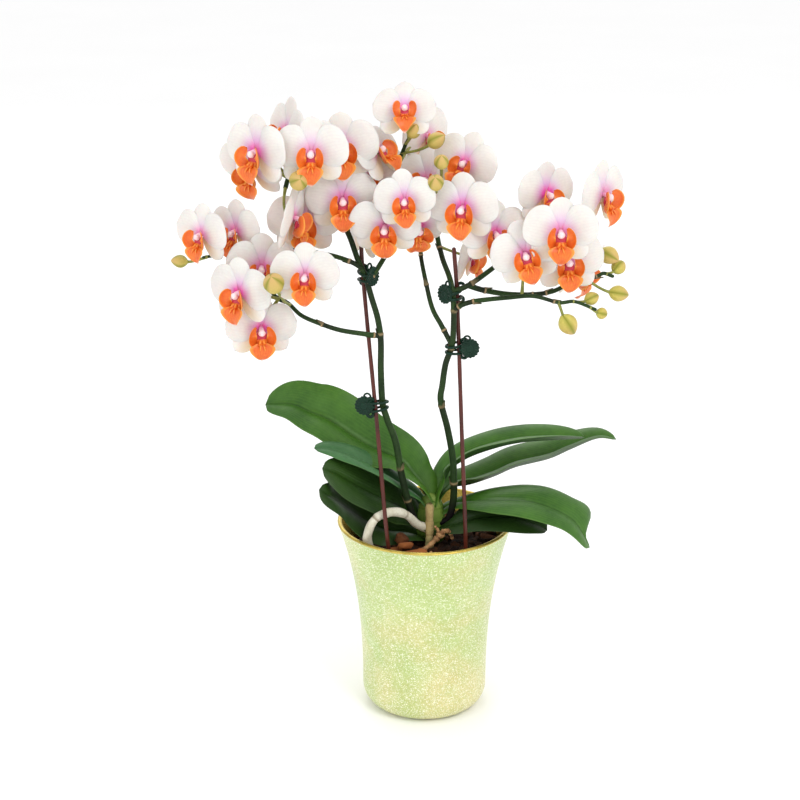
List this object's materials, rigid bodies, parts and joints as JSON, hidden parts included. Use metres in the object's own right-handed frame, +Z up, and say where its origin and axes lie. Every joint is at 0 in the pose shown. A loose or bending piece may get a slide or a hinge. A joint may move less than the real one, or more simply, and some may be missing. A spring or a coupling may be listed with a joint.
{
  "type": "potted orchid",
  "caption": "Moth orchid with branching sprays of small white flowers on stakes, in a flared glazed pot with bark.",
  "frame": {"origin": "centre of the pot's flat underside", "axes": "+Z up, -Y towards the side that the flowers face, +X to that side's right"},
  "size_m": [0.3121, 0.1404, 0.4633],
  "materials": {
    "glaze": "pale green glitter glaze outside, gold glaze inside and on the rim",
    "nursery_plastic": "thin brown moulded plastic",
    "bark": "rough damp bark chips",
    "crown": "smooth light green plant tissue",
    "root": "dry silvery to tan aerial root",
    "leaf": "waxy green leaf",
    "stem": "dark green stem with pale bract scars and yellow-green buds",
    "petal": "matt white petals with a violet-pink flush and an orange lip",
    "stake": "dark red-brown coated wire",
    "clip": "dark green moulded plastic"
  },
  "bodies": {
    "root": {"bark_bed": "bark", "bark_chip": "bark", "ceramic_pot": "glaze", "clip_left_low": "clip", "clip_left_top": "clip", "clip_right_low": "clip", "clip_right_top": "clip", "flower_left_1": "petal", "flower_left_10": "petal", "flower_left_11": "petal", "flower_left_12": "petal", "flower_left_13": "petal", "flower_left_14": "petal", "flower_left_15": "petal", "flower_left_16": "petal", "flower_left_2": "petal", "flower_left_3": "petal", "flower_left_4": "petal", "flower_left_5": "petal", "flower_left_6": "petal", "flower_left_7": "petal", "flower_left_8": "petal", "flower_left_9": "petal", "flower_middle_1": "petal", "flower_middle_10": "petal", "flower_middle_2": "petal", "flower_middle_3": "petal", "flower_middle_4": "petal", "flower_middle_5": "petal", "flower_middle_6": "petal", "flower_middle_7": "petal", "flower_middle_8": "petal", "flower_middle_9": "petal", "flower_right_1": "petal", "flower_right_2": "petal", "flower_right_3": "petal", "flower_right_4": "petal", "flower_right_5": "petal", "flower_right_6": "petal", "flower_right_7": "petal", "flower_right_8": "petal", "leaf_left_1": "leaf", "leaf_left_2": "leaf", "leaf_left_3": "leaf", "leaf_left_4": "leaf", "leaf_right_1": "leaf", "leaf_right_2": "leaf", "leaf_right_3": "leaf", "leaf_right_4": "leaf", "nursery_pot": "nursery_plastic", "plant_crown": "crown", "root_dried": "root", "root_tan": "root", "root_white": "root", "spike_left": "stem", "spike_right": "stem", "stake_left": "stake", "stake_right": "stake"}
  },
  "joints": []
}
